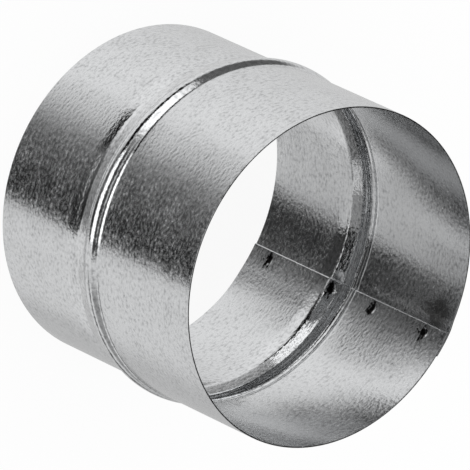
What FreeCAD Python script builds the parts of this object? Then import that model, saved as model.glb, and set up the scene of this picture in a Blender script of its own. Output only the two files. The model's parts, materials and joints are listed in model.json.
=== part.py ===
"""Duct connector: a strip of galvanised sheet rolled into a tube and spot-welded along a lap.

The lower half is a spigot that slides into a duct, the upper half is a socket that a spigot slides
into, and a rolled bead between them stops both. The axis is Z, and z = 0 is the spigot's rim.
"""
import FreeCAD
import Part
import math
import os

# Driving dimensions, in millimetres and degrees

sheet = 0.5              # thickness of the steel sheet
length = 112.0           # rim to rim
duct_bore = 125.0        # inside of the ducts that it joins
spigot_gap = 1.0         # how much smaller the spigot is outside
socket_gap = 0.2         # how much wider the socket is inside

bead_z = 54.3            # height of the bead's crest above the spigot's rim
bead_height = 1.5        # how far the crest stands out of the socket's wall
bead_half_width = 5.2    # from the crest to the foot on the socket's side
bead_foot_radius = 4.0   # outside radius in the feet of the bead
ramp_angle = 12.0        # slope of the cone between the spigot and the bead
ramp_radius = 2.0        # outside radius of the bend at the start of the cone

seam_angle = 90.0        # where the edge of the inner layer lies, turning from +X to +Y
lap_width = 9.5          # overlap of the two layers
joggle_width = 5.5       # stretch over which each layer bends aside into the lap

weld_diameter = 3.6      # mark of a spot weld
weld_depth = 0.2         # how deep the electrodes press into each face
weld_flare = 3.0         # how far the mark's side runs out for its depth
weld_to_edge = 3.5       # from the inner layer's edge to the row of welds
weld_spacing = 11.0      # from a rim, or from the bead's foot, to the nearest weld

# Places of the bend's end, the ramp's end and the bead's front foot in the wall's line

bend_end = 3
ramp_end = 4
front_foot = 10

# Sizes that follow

spigot_radius = (duct_bore - spigot_gap) / 2
socket_radius = (duct_bore + socket_gap) / 2 + sheet
crest_radius = socket_radius + bead_height
lap_turn = math.degrees(lap_width / socket_radius)
joggle_turn = math.degrees(joggle_width / socket_radius)
weld_turn = math.degrees(weld_to_edge / socket_radius)
outer_edge_angle = seam_angle - lap_turn

# How far each layer lies aside from the plain tube, in the spigot and in the socket. The lap stands
# in from the spigot and out from the socket, so the faces that meet a duct stay round.
plain = (0.0, 0.0)
inner_layer = (-sheet, 0.0)
outer_layer = (0.0, sheet)


def facing(slope):
    """Outward direction (r, z) of the wall where it leans out by the given slope in radians."""
    return math.cos(slope), -math.sin(slope)


def from_centre(centre, radius, slope):
    """Point on an arc about centre. A negative radius puts the centre outside the wall."""
    r, z = facing(slope)
    return centre[0] + radius * r, centre[1] + radius * z


def wall_stations():
    """Outside of the wall from the spigot's rim to the socket's, as (point, slope) at each joint.

    The bend, the rear foot, the crest and the front foot are arcs, with a point more in the middle
    of each. The spigot, the ramp and the socket are straight.
    """
    ramp = math.radians(ramp_angle)
    front = 2 * math.atan(bead_height / bead_half_width)
    both_radii = bead_half_width / math.sin(front)
    crest_bend = both_radii - bead_foot_radius
    rear = math.acos((bead_foot_radius * math.cos(ramp) + crest_bend - bead_height) / both_radii)

    crest_centre = (crest_radius - crest_bend, bead_z)
    front_centre = from_centre(crest_centre, both_radii, -front)
    rear_centre = from_centre(crest_centre, both_radii, rear)
    top_r, top_z = from_centre(rear_centre, -bead_foot_radius, ramp)
    ramp_start_z = top_z - (top_r - spigot_radius) / math.tan(ramp)
    bend_centre = (spigot_radius + ramp_radius, ramp_start_z - ramp_radius * math.tan(ramp / 2))

    def arc(centre, radius, start, end):
        return [(from_centre(centre, radius, slope), slope) for slope in (start, (start + end) / 2, end)]

    return (
        [((spigot_radius, 0.0), 0.0)]
        + arc(bend_centre, -ramp_radius, 0.0, ramp)
        + arc(rear_centre, -bead_foot_radius, ramp, rear)
        + arc(crest_centre, crest_bend, rear, -front)[1:]
        + arc(front_centre, -bead_foot_radius, -front, 0.0)[1:]
        + [((socket_radius, length), 0.0)]
    )


def wall_points(depth, layer):
    """Points of the wall's line at a depth below its outside, moved aside to a layer of the lap.

    The spigot and its bend move by the layer's first value and the rest by its second, so the ramp
    takes up the difference.
    """
    points = []
    for number, ((r, z), slope) in enumerate(wall_stations()):
        aside = layer[0] if number <= bend_end else layer[1]
        out_r, out_z = facing(slope)
        points.append(FreeCAD.Vector(r - depth * out_r + aside, 0, z - depth * out_z))
    return points


def wall_at(depth, layer, height):
    """Radius and slope of that line at a height, on one of its straight stretches."""
    points = wall_points(depth, layer)
    for low, high in zip(points, points[1:]):
        if low.z <= height <= high.z:
            lean = (high.x - low.x) / (high.z - low.z)
            return low.x + lean * (height - low.z), math.atan(lean)
    raise ValueError("height is beyond the rims")


def wall_edges(points):
    """Edges through the points of a wall's line: straight, arc, straight, three arcs, straight."""
    edges = [Part.LineSegment(points[0], points[1]), Part.Arc(*points[1:bend_end + 1])]
    edges.append(Part.LineSegment(points[bend_end], points[ramp_end]))
    for first in range(ramp_end, front_foot, 2):
        edges.append(Part.Arc(*points[first:first + 3]))
    edges.append(Part.LineSegment(points[front_foot], points[-1]))
    return [edge.toShape() for edge in edges]


def section(angle, outside, inside):
    """Cut through the wall at an angle about the axis, as a closed wire.

    It runs from the outside of one layer to the inside of another, or of the same one.
    """
    outer = wall_points(0, outside)
    inner = wall_points(sheet, inside)
    rims = [Part.LineSegment(outer[end], inner[end]).toShape() for end in (0, -1)]
    wire = Part.Wire(Part.__sortEdges__(wall_edges(outer) + wall_edges(inner) + rims))
    wire.rotate(FreeCAD.Vector(0, 0, 0), FreeCAD.Vector(0, 0, 1), angle)
    return wire


def rolled(wire, turn):
    """Sheet rolled about the axis from a section."""
    return Part.Face(wire).revolve(FreeCAD.Vector(0, 0, 0), FreeCAD.Vector(0, 0, 1), turn)


def joggled(wire, other):
    """Sheet that bends aside from one section to another."""
    return Part.makeLoft([wire, other], True, True)


def lapped_tube():
    """The rolled strip, with its two ends bent aside and welded face to face."""
    before = outer_edge_angle - joggle_turn
    after = seam_angle + joggle_turn
    tube = rolled(section(after, plain, plain), 360 + before - after)
    lap = rolled(section(outer_edge_angle, outer_layer, inner_layer), lap_turn)
    into_lap = joggled(section(before, plain, plain), section(outer_edge_angle, inner_layer, inner_layer))
    out_of_lap = joggled(section(seam_angle, outer_layer, outer_layer), section(after, plain, plain))
    return tube.fuse([lap, into_lap, out_of_lap])


def weld_heights():
    """Heights of the spot welds: near each rim, on the ramp and beyond the bead."""
    heights = [z for (r, z), slope in wall_stations()]
    ramp_middle = (heights[bend_end] + heights[ramp_end]) / 2
    return weld_spacing, ramp_middle, heights[front_foot] + weld_spacing, length - weld_spacing


def weld_mark(depth, layer, height, side):
    """Tool that presses a flat-bottomed dimple into a face of the lap. Side is 1 outside, -1 inside."""
    r, slope = wall_at(depth, layer, height)
    lean_r, lean_z = facing(slope)
    out = FreeCAD.Vector(lean_r, 0, lean_z) * side
    bottom = FreeCAD.Vector(r, 0, height) - out * weld_depth
    tool_height = 2 * weld_depth
    spread = weld_flare * weld_depth
    tool = Part.makeCone(weld_diameter / 2 - spread, weld_diameter / 2 + spread, tool_height, bottom, out)
    tool.rotate(FreeCAD.Vector(0, 0, 0), FreeCAD.Vector(0, 0, 1), seam_angle - weld_turn)
    return tool


def weld_marks():
    """Tools for the electrodes' marks on both faces of the lap."""
    tools = []
    for height in weld_heights():
        tools.append(weld_mark(0, outer_layer, height, 1))
        tools.append(weld_mark(sheet, inner_layer, height, -1))
    return tools


connector = lapped_tube().cut(weld_marks()).removeSplitter()

os.makedirs("parts", exist_ok=True)
connector.Solids[0].exportStep("parts/connector.step")
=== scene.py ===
"""Duct connector of galvanised sheet steel, standing on its spigot on a pale studio floor."""
import bisect
import json
import math

import bmesh
import bpy
from mathutils import Matrix, Vector


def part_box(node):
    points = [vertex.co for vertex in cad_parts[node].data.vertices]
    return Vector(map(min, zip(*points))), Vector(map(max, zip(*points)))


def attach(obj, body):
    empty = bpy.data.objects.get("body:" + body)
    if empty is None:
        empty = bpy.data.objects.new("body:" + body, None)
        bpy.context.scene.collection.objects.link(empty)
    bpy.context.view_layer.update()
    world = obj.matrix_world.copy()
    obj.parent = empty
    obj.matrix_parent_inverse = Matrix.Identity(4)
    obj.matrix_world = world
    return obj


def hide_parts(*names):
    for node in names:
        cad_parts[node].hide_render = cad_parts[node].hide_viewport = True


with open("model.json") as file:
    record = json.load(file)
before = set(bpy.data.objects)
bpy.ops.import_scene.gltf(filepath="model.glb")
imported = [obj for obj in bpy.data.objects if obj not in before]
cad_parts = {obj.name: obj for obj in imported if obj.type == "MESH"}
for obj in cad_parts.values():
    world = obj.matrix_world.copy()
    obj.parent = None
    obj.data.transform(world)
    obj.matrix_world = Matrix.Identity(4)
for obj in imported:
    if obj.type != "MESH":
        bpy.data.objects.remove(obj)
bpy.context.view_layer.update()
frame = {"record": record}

MM = 0.001

# Sizes that come from the frame

mounts = {mount["name"]: mount["dims"] for mount in frame["record"]["mounts"]}
low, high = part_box("connector")
length = high.z - low.z
spigot_radius = mounts["spigot"]["r_mm"] * MM
bore_radius = mounts["socket"]["r_mm"] * MM

# Sizes of the wall

sheet = 0.5 * MM               # thickness of the steel sheet
socket_radius = bore_radius + sheet
bead_z = 54.3 * MM             # height of the bead's crest above the spigot's rim
bead_height = 1.5 * MM         # how far the crest stands out of the socket's wall
bead_half_width = 5.2 * MM     # from the crest to the foot on the socket's side
bead_foot_radius = 4.0 * MM    # outside radius in the feet of the bead
ramp_angle = math.radians(12)  # slope of the cone between the spigot and the bead
ramp_radius = 2.0 * MM         # outside radius of the bend at the start of the cone
neck_depth = 0.27 * MM         # how far the rollers draw the spigot in at the ramp
neck_length = 7.0 * MM         # stretch over which they draw it in
crease_half = 1.2 * MM         # half the stretch over which the crease at the ramp's start is eased
edge_round = 0.07 * MM         # rounding of the cut edges
shear_round = 0.35 * MM        # rounding of the corners that the shears press over

# Sizes of the seam, as turns about the axis where they run round the tube

seam_angle = math.radians(90)           # where the edge of the inner layer lies
lap_turn = 9.5 * MM / socket_radius     # overlap of the two layers
joggle_turn = 5.5 * MM / socket_radius  # stretch over which the outer layer bends aside into the lap
ease_turn = 14.0 * MM / socket_radius   # longer stretch over which the inner layer does
hairline = 0.03 * MM                    # gap between the two layers

# Sizes of the welds, of the soot round them and of the stain

weld_radius = 1.8 * MM
weld_depth = 0.2 * MM                   # how deep the electrodes press into each face
weld_side = 0.6 * MM                    # width of the mark's sloping side
weld_turn = 3.5 * MM / socket_radius    # from the inner layer's edge to the row of welds
weld_spacing = 11.0 * MM                # from a rim, or from the bead's foot, to the nearest weld
burn_length = 6.2 * MM                  # reach of the soot along the strip
burn_width = 3.1 * MM                   # reach of the soot across the strip
burn_shift = 0.6 * MM                   # how far the soot lies off the weld, along and across
stain_radius = 13.0 * MM
stain_from_edge = 14.5 * MM             # along the strip from the outer layer's edge
stain_from_rim = 8.0 * MM               # down from the socket's rim

# How finely the sheet is divided

fine_step = 0.4 * MM             # between points at the seam and the welds
plain_step = math.radians(2)     # between points round the plain tube
arc_step = math.radians(3)       # between points along an arc of the wall's line
crease_rows = 8                  # rows in the neck, and in each half of the crease
rim_row = 3 * edge_round         # from a rim to the row next to it
closest_rows = 0.05 * MM         # rows closer than this become one
same_turn = 0.001                # headings closer than this, in radians, count as one
cut_corner = math.radians(60)    # edges that turn further than this are rounded
sharp_corner = math.radians(30)  # edges that turn further than this are shaded sharp


def smooth(t):
    """Eased step from 0 to 1."""
    t = min(max(t, 0.0), 1.0)
    return t * t * (3 - 2 * t)


# The wall's line

def arc(centre, radius, start, end):
    """Points (r, z) of an arc, from one slope of the wall to another. A negative radius bends in."""
    count = max(2, math.ceil(abs(end - start) / arc_step))
    slopes = [start + (end - start) * i / count for i in range(count + 1)]
    return [(centre[0] + radius * math.cos(s), centre[1] - radius * math.sin(s)) for s in slopes]


front_slope = 2 * math.atan(bead_height / bead_half_width)
both_radii = bead_half_width / math.sin(front_slope)
crest_bend = both_radii - bead_foot_radius
rear_slope = math.acos(
    (bead_foot_radius * math.cos(ramp_angle) + crest_bend - bead_height) / both_radii
)
crest_centre = (socket_radius + bead_height - crest_bend, bead_z)
front_centre = arc(crest_centre, both_radii, -front_slope, -front_slope)[0]
rear_centre = arc(crest_centre, both_radii, rear_slope, rear_slope)[0]
rear_foot = arc(rear_centre, -bead_foot_radius, ramp_angle, rear_slope)
ramp_top = rear_foot[0]
ramp_start = ramp_top[1] - (ramp_top[0] - spigot_radius) / math.tan(ramp_angle)
bend_start = ramp_start - ramp_radius * math.tan(ramp_angle / 2)
bend = arc((spigot_radius + ramp_radius, bend_start), -ramp_radius, 0.0, ramp_angle)
crest = arc(crest_centre, crest_bend, rear_slope, -front_slope)
front_foot = arc(front_centre, -bead_foot_radius, -front_slope, 0.0)

wall_line = (
    [(spigot_radius, 0.0)]
    + bend
    + rear_foot
    + crest[1:]
    + front_foot[1:]
    + [(socket_radius, length)]
)
wall_heights = [z for r, z in wall_line]
bend_end_z = bend[-1][1]
front_foot_z = front_foot[-1][1]
rolled_middle = (ramp_start - neck_length + front_foot_z) / 2
rolled_half = front_foot_z - rolled_middle
weld_heights = (
    weld_spacing,
    (bend_end_z + ramp_top[1]) / 2,
    front_foot_z + weld_spacing,
    length - weld_spacing,
)


def wall_radius(z):
    """Radius of the wall's outside at a height, with the neck before the ramp and the eased crease."""
    after = min(max(bisect.bisect_left(wall_heights, z), 1), len(wall_line) - 1)
    (r0, z0), (r1, z1) = wall_line[after - 1:after + 1]
    into_neck = max(0.0, 1 - abs(z - ramp_start) / neck_length)
    out_of_neck = 1 - smooth((z - ramp_top[1]) / (bead_z - ramp_top[1]))
    drawn_in = neck_depth * (into_neck ** 2 if z < ramp_start else out_of_neck)
    turned = math.tan(ramp_angle) + 2 * neck_depth / neck_length
    eased = turned * max(0.0, crease_half - abs(z - ramp_start)) ** 2 / (4 * crease_half)
    return r0 + (r1 - r0) * (z - z0) / (z1 - z0) - drawn_in + eased


def row_heights():
    """Heights of the rows of points across the strip, closer together in the neck and at the welds."""
    heights = set(wall_heights)
    heights.update((rim_row, length - rim_row))
    heights.update(ramp_start - neck_length * i / crease_rows for i in range(1, crease_rows + 1))
    heights.update(
        ramp_start + crease_half * i / crease_rows for i in range(-crease_rows, crease_rows + 1)
    )
    reach = weld_radius + weld_side
    for weld in weld_heights:
        count = math.ceil(2 * reach / fine_step)
        heights.update(weld - reach + 2 * reach * i / count for i in range(count + 1))
    rows = []
    for z in sorted(heights):
        if not rows or z - rows[-1] > closest_rows:
            rows.append(z)
    return rows


# The rolled strip, from the outer layer's edge to the inner layer's

stretches = (
    (lap_turn, fine_step / socket_radius),
    (joggle_turn, fine_step / socket_radius),
    (2 * math.pi - lap_turn - joggle_turn - ease_turn, plain_step),
    (ease_turn, plain_step / 2),
    (lap_turn, fine_step / socket_radius),
)
strip_turn = 2 * math.pi + lap_turn
strip_start = seam_angle - lap_turn


def layer_offset(turn, z):
    """How far the strip lies aside from the plain tube: out at its start and in at its end."""
    up = smooth((z - bend_end_z) / (ramp_top[1] - bend_end_z))
    outward = 1 - smooth((turn - lap_turn) / joggle_turn)
    inward = smooth((turn - strip_turn + lap_turn + ease_turn) / ease_turn)
    return outward * up * sheet - inward * ((1 - up) * sheet + hairline)


def from_weld(turn, z):
    """Way along and across the strip from the nearest weld, and the layer that it is in.

    The layer is 1 for the outer one and -1 for the inner one.
    """
    along, side = min(
        ((turn - lap_turn + weld_turn) * socket_radius, 1),
        ((turn - strip_turn + weld_turn) * socket_radius, -1),
        key=lambda way: abs(way[0]),
    )
    across = min((z - weld for weld in weld_heights), key=abs)
    return along, across, side


def rolled_strip():
    """The strip rolled up from a line of points, as a skin with no thickness."""
    bm = bmesh.new()
    turn_of = bm.verts.layers.float.new("turn")
    verts = [bm.verts.new((wall_radius(z), 0, z)) for z in row_heights()]
    edges = [bm.edges.new(pair) for pair in zip(verts, verts[1:])]
    turn = 0.0
    bmesh.ops.rotate(bm, verts=verts, matrix=Matrix.Rotation(strip_start, 3, "Z"))
    for width, step in stretches:
        count = math.ceil(width / step)
        for _ in range(count):
            made = bmesh.ops.extrude_edge_only(bm, edges=edges)["geom"]
            verts = [item for item in made if isinstance(item, bmesh.types.BMVert)]
            edges = [item for item in made if isinstance(item, bmesh.types.BMEdge)]
            turn += width / count
            bmesh.ops.rotate(bm, verts=verts, matrix=Matrix.Rotation(width / count, 3, "Z"))
            for vert in verts:
                vert[turn_of] = turn
    for vert in bm.verts:
        z = vert.co.z
        along, across, side = from_weld(vert[turn_of], z)
        dent = weld_depth * min(max((weld_radius - math.hypot(along, across)) / weld_side, 0.0), 1.0)
        radius = wall_radius(z) + layer_offset(vert[turn_of], z) - side * dent
        vert.co.xy = vert.co.xy.normalized() * radius
    return bm


def place_on_strip(vert):
    """How far round the strip a point lies, and how high."""
    x, y, z = vert.co
    turn = (math.atan2(y, x) - strip_start + same_turn) % (2 * math.pi) - same_turn
    between = wall_radius(z) + layer_offset(0, z) - sheet - hairline / 2
    if turn < lap_turn + same_turn and math.hypot(x, y) < between:
        turn += 2 * math.pi
    return turn, z


def strip_map(bm):
    """Map of the flat strip in metres, and how far each point is burnt by a weld or stained inside."""
    flat = bm.loops.layers.uv.new("strip")
    burn_of = bm.verts.layers.float.new("burn")
    stain_of = bm.verts.layers.float.new("stain")
    for vert in bm.verts:
        turn, z = place_on_strip(vert)
        along, across, _ = from_weld(turn, z)
        from_burn = math.hypot((along + burn_shift) / burn_length, (across + burn_shift) / burn_width)
        from_stain = math.hypot(turn * socket_radius - stain_from_edge, length - z - stain_from_rim)
        beneath = wall_radius(z) + layer_offset(turn, z) - vert.co.xy.length
        vert[burn_of] = 1 - smooth(from_burn)
        vert[stain_of] = 1 - smooth(from_stain / stain_radius) if beneath > sheet / 2 else 0.0
        for loop in vert.link_loops:
            loop[flat].uv = (turn * socket_radius, z)


def is_rolled_over(edge):
    """Whether an edge is the corner that the shears round off, along either end of the strip."""
    turned = [math.atan2(vert.co.y, vert.co.x) for vert in edge.verts]
    if abs(turned[0] - turned[1]) > same_turn:
        return False
    middle = (edge.verts[0].co + edge.verts[1].co) / 2
    between = wall_radius(middle.z) + layer_offset(0, middle.z) - sheet
    beyond = middle.xy.length - between
    at_start = abs(turned[0] - strip_start) < same_turn
    return beyond > sheet / 2 if at_start else beyond < -sheet / 2


def connector_sheet():
    """The whole connector: the rolled strip given the sheet's thickness, with its cut edges eased."""
    bm = rolled_strip()
    bmesh.ops.recalc_face_normals(bm, faces=bm.faces)
    middle = max(bm.faces, key=lambda face: face.calc_area())
    if middle.normal.dot(middle.calc_center_median() * Vector((1, 1, 0))) < 0:
        bmesh.ops.reverse_faces(bm, faces=bm.faces)
    bmesh.ops.solidify(bm, geom=bm.faces, thickness=sheet)
    for rounding, along_seam in ((shear_round, True), (edge_round, False)):
        cut = [
            edge for edge in bm.edges
            if edge.is_manifold and edge.calc_face_angle() > cut_corner
            and is_rolled_over(edge) == along_seam
        ]
        bmesh.ops.bevel(
            bm, geom=cut, offset=rounding, segments=3, profile=0.5, affect="EDGES", material=-1
        )
    strip_map(bm)
    for face in bm.faces:
        face.smooth = True
    mesh = bpy.data.meshes.new("connector_sheet")
    bm.to_mesh(mesh)
    bm.free()
    mesh.set_sharp_from_angle(angle=sharp_corner)
    piece = bpy.data.objects.new("connector_sheet", mesh)
    bpy.context.collection.objects.link(piece)
    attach(piece, "root")
    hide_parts("connector")
    return piece


# Materials

def linear(hex_colour):
    """Linear colour of an sRGB hex value."""
    values = [int(hex_colour[i:i + 2], 16) / 255 for i in (1, 3, 5)]
    return [v / 12.92 if v <= 0.04045 else ((v + 0.055) / 1.055) ** 2.4 for v in values] + [1.0]


def node(tree, kind, inputs=None, stops=None, **settings):
    """Adds a node, with its settings, a ramp's stops, and its inputs as values or links."""
    made = tree.nodes.new(kind)
    for name, value in settings.items():
        setattr(made, name, value)
    if stops:
        ramp = made.color_ramp.elements
        while len(ramp) < len(stops):
            ramp.new(1.0)
        for element, (place, value) in zip(ramp, stops):
            element.position = place
            element.color = value if isinstance(value, (list, tuple)) else (value, value, value, 1.0)
    for name, value in (inputs or {}).items():
        if isinstance(value, bpy.types.NodeSocket):
            tree.links.new(value, made.inputs[name])
        else:
            made.inputs[name].default_value = value
    return made


def new_material(name):
    """A new material, its node tree and the socket that takes its shader."""
    material = bpy.data.materials.new(name)
    material.use_nodes = True
    material.node_tree.nodes.clear()
    output = node(material.node_tree, "ShaderNodeOutputMaterial")
    return material, material.node_tree, output.inputs["Surface"]


def marked_colour(tree, clean, grain, mottle):
    """The sheet's colour with a grey stain near the rim and black soot at the welds, both ragged."""
    patchiness = 1.8
    stain = node(tree, "ShaderNodeAttribute", attribute_name="stain")
    patchy = node(tree, "ShaderNodeMath", {
        0: mottle, 1: patchiness, 2: stain.outputs["Fac"],
    }, operation="MULTIPLY_ADD")
    patch = node(tree, "ShaderNodeMapRange", {
        "Value": patchy.outputs[0], "From Min": 1.4, "From Max": 1.55, "To Max": 0.75,
    })
    stained = node(tree, "ShaderNodeMix", {
        "Factor": patch.outputs["Result"], "A": clean, "B": linear("#5a5957"),
    }, data_type="RGBA")

    raggedness = 1.9
    burn = node(tree, "ShaderNodeAttribute", attribute_name="burn")
    ragged = node(tree, "ShaderNodeMath", {
        0: grain, 1: raggedness, 2: burn.outputs["Fac"],
    }, operation="MULTIPLY_ADD")
    soot = node(tree, "ShaderNodeMapRange", {
        "Value": ragged.outputs[0], "From Min": 1.4, "From Max": 1.6,
    })
    burnt = node(tree, "ShaderNodeMix", {
        "Factor": soot.outputs["Result"], "A": stained.outputs["Result"], "B": linear("#181716"),
    }, data_type="RGBA")
    return burnt.outputs["Result"]


def galvanised_steel():
    """Hot-dip galvanised sheet, a soft mottled grey mirror to the eye.

    A small grain and a larger spangle break up the mirror, long waves bend it a little, and it is
    clearer where the rollers pressed the neck, the ramp and the bead.
    """
    material, tree, surface = new_material("galvanised steel")
    strip = node(tree, "ShaderNodeUVMap", uv_map="strip").outputs["UV"]

    # The zinc's grain is drawn coarser than the real one, so that it shows in the picture
    grain_length = 1.55 * MM
    grain_width = 1.25 * MM
    grain_depth = 0.065 * MM
    drawn = node(tree, "ShaderNodeMapping", {
        "Vector": strip, "Scale": (1 / grain_length, 1 / grain_width, 1),
    })
    grain = node(tree, "ShaderNodeTexNoise", {
        "Vector": drawn.outputs["Vector"], "Scale": 1.0, "Detail": 2.0, "Roughness": 0.5,
    }).outputs["Fac"]
    spangle_size = 8 * MM
    spangle = node(tree, "ShaderNodeTexNoise", {
        "Vector": strip, "Scale": 1 / spangle_size, "Detail": 2.0, "Roughness": 0.5,
    })
    mottle = node(tree, "ShaderNodeMix", {
        "Factor": 0.25, "A": grain, "B": spangle.outputs["Fac"],
    }).outputs["Result"]
    tone = node(tree, "ShaderNodeValToRGB", {"Fac": mottle}, stops=[
        (0.3, linear("#a4a5a6")), (0.5, linear("#cecfd0")), (0.7, linear("#dcddde")),
    ])

    # How dull the mirror is, and how much clearer where the rollers pressed it
    clear_grain = 0.11
    dull_grain = 0.28
    burnished_share = 0.5
    burnish_edge = 2.5 * MM
    mottled = node(tree, "ShaderNodeMapRange", {
        "Value": mottle, "From Min": 0.32, "From Max": 0.68, "To Min": clear_grain, "To Max": dull_grain,
    })
    height = node(tree, "ShaderNodeSeparateXYZ", {"Vector": strip}).outputs["Y"]
    above = node(tree, "ShaderNodeMath", {0: height, 1: rolled_middle}, operation="SUBTRACT")
    from_middle = node(tree, "ShaderNodeMath", {0: above.outputs[0]}, operation="ABSOLUTE")
    burnish = node(tree, "ShaderNodeMapRange", {
        "Value": from_middle.outputs[0], "From Min": rolled_half - burnish_edge, "From Max": rolled_half,
        "To Min": burnished_share, "To Max": 1.0,
    })
    dullness = node(tree, "ShaderNodeMath", {
        0: mottled.outputs["Result"], 1: burnish.outputs["Result"],
    }, operation="MULTIPLY")

    # Long waves left by the rolling, with the grain on top of them
    wave_length = 45 * MM
    wave_depth = 0.2 * MM
    waves = node(tree, "ShaderNodeTexNoise", {
        "Vector": strip, "Scale": 1 / wave_length, "Detail": 1.0,
    })
    wavy = node(tree, "ShaderNodeBump", {
        "Height": waves.outputs["Fac"], "Strength": 1.0, "Distance": wave_depth,
    })
    grainy = node(tree, "ShaderNodeBump", {
        "Height": grain, "Strength": 1.0, "Distance": grain_depth, "Normal": wavy.outputs["Normal"],
    })
    zinc = node(tree, "ShaderNodeBsdfPrincipled", {
        "Base Color": marked_colour(tree, tone.outputs["Color"], grain, mottle),
        "Metallic": 1.0,
        "Roughness": dullness.outputs[0],
        "Normal": grainy.outputs["Normal"],
    })
    tree.links.new(zinc.outputs["BSDF"], surface)
    return material


def floor_paint():
    """White studio floor. The camera sees it mostly as even white, with a faint shadow left in it."""
    lit_share = 0.92
    material, tree, surface = new_material("white floor")
    paint = node(tree, "ShaderNodeBsdfDiffuse", {"Color": linear("#f7f7f7")})
    glow = node(tree, "ShaderNodeEmission", {"Color": (1, 1, 1, 1), "Strength": 1.0})
    path = node(tree, "ShaderNodeLightPath")
    share = node(tree, "ShaderNodeMath", {
        0: path.outputs["Is Camera Ray"], 1: lit_share,
    }, operation="MULTIPLY")
    mixed = node(tree, "ShaderNodeMixShader", {
        0: share.outputs[0], 1: paint.outputs["BSDF"], 2: glow.outputs["Emission"],
    })
    tree.links.new(mixed.outputs["Shader"], surface)
    return material


# The studio

def floor():
    """Large floor under the object. Reflections look past it into the studio's own light."""
    half_side = 4.0
    bm = bmesh.new()
    bmesh.ops.create_grid(bm, x_segments=1, y_segments=1, size=half_side)
    mesh = bpy.data.meshes.new("floor")
    bm.to_mesh(mesh)
    bm.free()
    ground = bpy.data.objects.new("floor", mesh)
    ground.data.materials.append(floor_paint())
    ground.visible_glossy = False
    bpy.context.collection.objects.link(ground)


def card(bm, name, top_level, bottom_level, bottom):
    """A card that only shows in reflections, from a brightness at the floor to one at its bottom."""
    mesh = bpy.data.meshes.new(name)
    bm.to_mesh(mesh)
    bm.free()
    made = bpy.data.objects.new(name, mesh)
    material, tree, surface = new_material(name)
    place = node(tree, "ShaderNodeTexCoord").outputs["Object"]
    height = node(tree, "ShaderNodeSeparateXYZ", {"Vector": place}).outputs["Z"]
    level = node(tree, "ShaderNodeMapRange", {
        "Value": height, "From Min": bottom, "From Max": 0.0,
        "To Min": bottom_level, "To Max": top_level,
    })
    glow = node(tree, "ShaderNodeEmission", {"Color": (1, 1, 1, 1), "Strength": level.outputs["Result"]})
    tree.links.new(glow.outputs["Emission"], surface)
    made.data.materials.append(material)
    made.visible_camera = False
    made.visible_diffuse = False
    made.visible_shadow = False
    bpy.context.collection.objects.link(made)


def curved_card(name, start, end, bottom, top_level, bottom_level, top=-0.5 * MM):
    """Card that curves round under the spigot's rim, between two angles about the axis."""
    bm = bmesh.new()
    verts = [bm.verts.new((spigot_radius, 0, z)) for z in (bottom, top)]
    edge = bm.edges.new(verts)
    bmesh.ops.rotate(bm, verts=verts, matrix=Matrix.Rotation(math.radians(start), 3, "Z"))
    bmesh.ops.spin(
        bm, geom=verts + [edge], axis=(0, 0, 1), cent=(0, 0, 0),
        angle=math.radians(end - start), steps=24,
    )
    card(bm, name, top_level, bottom_level, bottom)


def flat_card(name, corners, depth, level):
    """Flat card under the tube, with its corners in millimetres."""
    bm = bmesh.new()
    verts = [bm.verts.new((x * MM, y * MM, depth)) for x, y in corners]
    outline = [bm.edges.new(pair) for pair in zip(verts, verts[1:] + verts[:1])]
    bmesh.ops.edgeloop_fill(bm, edges=outline)
    card(bm, name, level, level, depth)


def studio_cards():
    """Cards under the tube, which the walls mirror as bands of light and dark. The dark and dim cards
    just under the rim are painted shade, standing in for the shade under the tube.
    """
    # painted shade: a near-black band just under the rim in front, standing in for the shade under the
    # tube; only reflections show it
    curved_card("painted dark shade in front", 255, 314, -32 * MM, 0.015, 0.015)
    curved_card("dark card further down", 270, 318, -140 * MM, 0.055, 0.055, top=-42 * MM)
    curved_card("light card", 184, 236, -14 * MM, 1.6, 1.6)
    # painted shade: these four cards ring the underside of the rim, standing in for the shade under it,
    # mostly darkest next to the rim; only reflections show them
    curved_card("painted shade on the left", 110, 184, -20 * MM, 0.15, 0.75)
    curved_card("painted shade on the right", 12, 90, -28 * MM, 0.0, 0.6)
    curved_card("painted shade at the side", 348, 372, -7 * MM, 0.4, 0.5)
    curved_card("painted dim shade in front", 314, 348, -32 * MM, 0.35, 0.35)
    flat_card("grey card below", (
        (45, -30), (64, -60), (90, -62), (108, -20), (110, 20), (95, 60), (62, 57), (66, 30), (63, 2),
    ), -120 * MM, 0.65)
    flat_card("grey card nearer", (
        (41, -30), (61, -64), (88, -44), (97, -5), (85, 45), (60, 40), (57, -5),
    ), -60 * MM, 0.65)
    flat_card("dim card nearer", (
        (0, -84), (8, -80), (31, -75), (48, -57), (60, -66), (57, -76), (34, -88), (8, -94),
    ), -60 * MM, 0.36)
    flat_card("pale card below", (
        (-26, -41), (-39, -77), (-73, -54), (-96, -20), (-63, 0), (-48, -25),
    ), -120 * MM, 1.08)


def heading(degrees):
    """Place of a heading in a ramp from -180 to 180 degrees, where 0 is towards the camera's side."""
    return (degrees + 180) / 360


def panel(tree, turn, rise, behind, size):
    """What metal mirrors once a soft-edged panel hangs in front of what was there."""
    left, right, soft_left, soft_right, bottom, top, soft, brightness = size
    inside = 1.0
    for value, edge, give in (
        (turn, left, soft_left), (turn, right, -soft_right), (rise, bottom, soft), (rise, top, -soft),
    ):
        step = node(tree, "ShaderNodeMapRange", {
            "Value": value, "From Min": edge - give, "From Max": edge + give,
        }, interpolation_type="SMOOTHSTEP")
        inside = node(tree, "ShaderNodeMath", {
            0: inside, 1: step.outputs["Result"],
        }, operation="MULTIPLY").outputs[0]
    shown = node(tree, "ShaderNodeMix", {"Factor": inside, "A": behind, "B": brightness})
    return shown.outputs["Result"]


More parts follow.
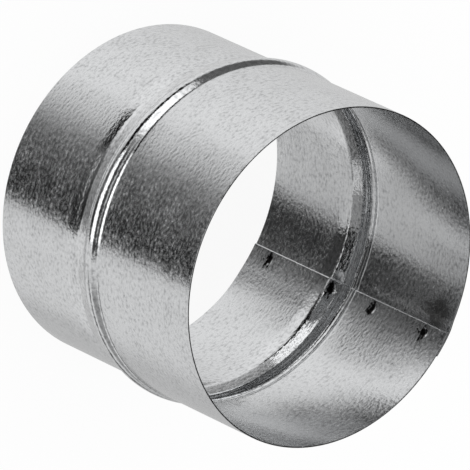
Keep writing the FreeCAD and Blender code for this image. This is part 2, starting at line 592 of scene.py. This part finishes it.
def studio_light():
    """White light all round. Metal mirrors pale walls instead, with light boxes and dark gaps."""
    world = bpy.data.worlds.new("studio")
    bpy.context.scene.world = world
    world.use_nodes = True
    tree = world.node_tree
    tree.nodes.clear()

    # Heading and rise of a ray, in degrees
    ray = node(tree, "ShaderNodeTexCoord").outputs["Generated"]
    part = node(tree, "ShaderNodeSeparateXYZ", {"Vector": ray})
    away = node(tree, "ShaderNodeMath", {0: part.outputs["Y"], 1: -1.0}, operation="MULTIPLY")
    turn = node(tree, "ShaderNodeMath", {0: part.outputs["X"], 1: away.outputs[0]}, operation="ARCTAN2")
    turn = node(tree, "ShaderNodeMath", {0: turn.outputs[0]}, operation="DEGREES").outputs[0]
    rise = node(tree, "ShaderNodeMath", {0: part.outputs["Z"]}, operation="ARCSINE")
    rise = node(tree, "ShaderNodeMath", {0: rise.outputs[0]}, operation="DEGREES").outputs[0]

    # Each heading with the wall's brightness there
    wall_levels = (
        (-180, 0.66), (-148, 0.76), (-128, 0.86), (-108, 0.93), (-88, 1.01),
        (-66, 1.12), (-44, 1.10), (48, 0.90), (72, 0.91), (92, 0.93),
        (112, 0.87), (122, 0.67), (142, 0.62), (152, 0.60), (180, 0.62),
    )
    brightest = 1.2
    round_about = node(tree, "ShaderNodeMapRange", {"Value": turn, "From Min": -180, "From Max": 180})
    walls = node(tree, "ShaderNodeValToRGB", {"Fac": round_about.outputs["Result"]}, stops=[
        (heading(place), level / brightest) for place, level in wall_levels
    ])
    level = node(tree, "ShaderNodeMath", {
        0: walls.outputs["Color"], 1: brightest,
    }, operation="MULTIPLY").outputs[0]

    # Each panel: left, right, softness of those two edges, bottom, top, softness, brightness
    panels = (
        (-21, 44, 19, 2, -67, -40, 4, 0.12),        # dark gap low in front
        (14, 44, 14, 2, -67, -40, 4, 0.03),         # its darker right end
        (-55, 58, 55, 8, -77, -68, 3, 0.33),        # dim strip under the gap
        (24, 58, 14, 8, -77, -68, 3, 0.2),          # its darker right end
        (-44, -10, 6, 6, -46, -20, 2, 0.01),        # black gap to the left of the front
        (-70, -40, 5, 5, -38, -20, 4, 0.02),        # black gap further left
        (-125, -68, 8, 3, -32, 12, 6, 0.15),        # dim panel on the left
        (-38, -14, 5, 4, -18, 16, 4, 0.45),         # grey panel over the first black gap
        (-58, -28, 5, 6, -18, 20, 3, 1.8),          # light box on the left
        (-4, 38, 5, 4, -34, -13, 2, 2.2),           # light box in front
        (-14, -2, 4, 4, -29, -12, 2, 2.0),          # its left end
        (-20, 45, 6, 4, -11, 10, 2, 0.08),          # dark gap over the light box
        (-22, 45, 6, 4, 12, 30, 2, 0.6),            # grey panel over that gap
        (60, 145, 8, 8, -40, -30, 2, 0.25),         # dim strip on the right
        (60, 145, 8, 8, -16, 20, 4, 0.4),           # dim panel over it
        (150, 190, 8, 1, -28, 10, 5, 0.05),         # dark gap behind, right half
        (-190, -165, 1, 8, -28, 10, 5, 0.05),       # dark gap behind, left half
        (105, 190, 10, 1, 18, 95, 5, 0.01),         # black panel high up behind, right half
        (-190, -105, 1, 10, 18, 95, 5, 0.01),       # black panel high up behind, left half
    )
    for size in panels:
        level = panel(tree, turn, rise, level, size)

    white = node(tree, "ShaderNodeBackground", {"Color": (1, 1, 1, 1), "Strength": 1.0})
    mirrored = node(tree, "ShaderNodeBackground", {"Color": (1, 1, 1, 1), "Strength": level})
    path = node(tree, "ShaderNodeLightPath")
    light = node(tree, "ShaderNodeMixShader", {
        0: path.outputs["Is Glossy Ray"],
        1: white.outputs["Background"],
        2: mirrored.outputs["Background"],
    })
    node(tree, "ShaderNodeOutputWorld", {"Surface": light.outputs["Shader"]})


def camera():
    """Camera above the -Y side, turned so that the tube's axis points down to the right."""
    lens = 917.0
    distance = 4.28
    elevation = math.radians(48.26)
    roll = math.radians(115.05)
    raised = 0.65 * MM
    aim = Vector((0, 0, length / 2))
    view = bpy.data.cameras.new("camera")
    view.lens = lens
    view.sensor_width = 36.0
    view.clip_end = 100.0
    eye = bpy.data.objects.new("camera", view)
    facing = Matrix.Rotation(math.pi / 2 - elevation, 4, "X") @ Matrix.Rotation(roll, 4, "Z")
    eye.matrix_world = Matrix.Translation(aim) @ facing @ Matrix.Translation((0, -raised, distance))
    bpy.context.collection.objects.link(eye)
    bpy.context.scene.camera = eye


bpy.context.scene.view_settings.view_transform = "Standard"
connector = connector_sheet()
connector.data.materials.append(galvanised_steel())
floor()
studio_cards()
studio_light()
camera()
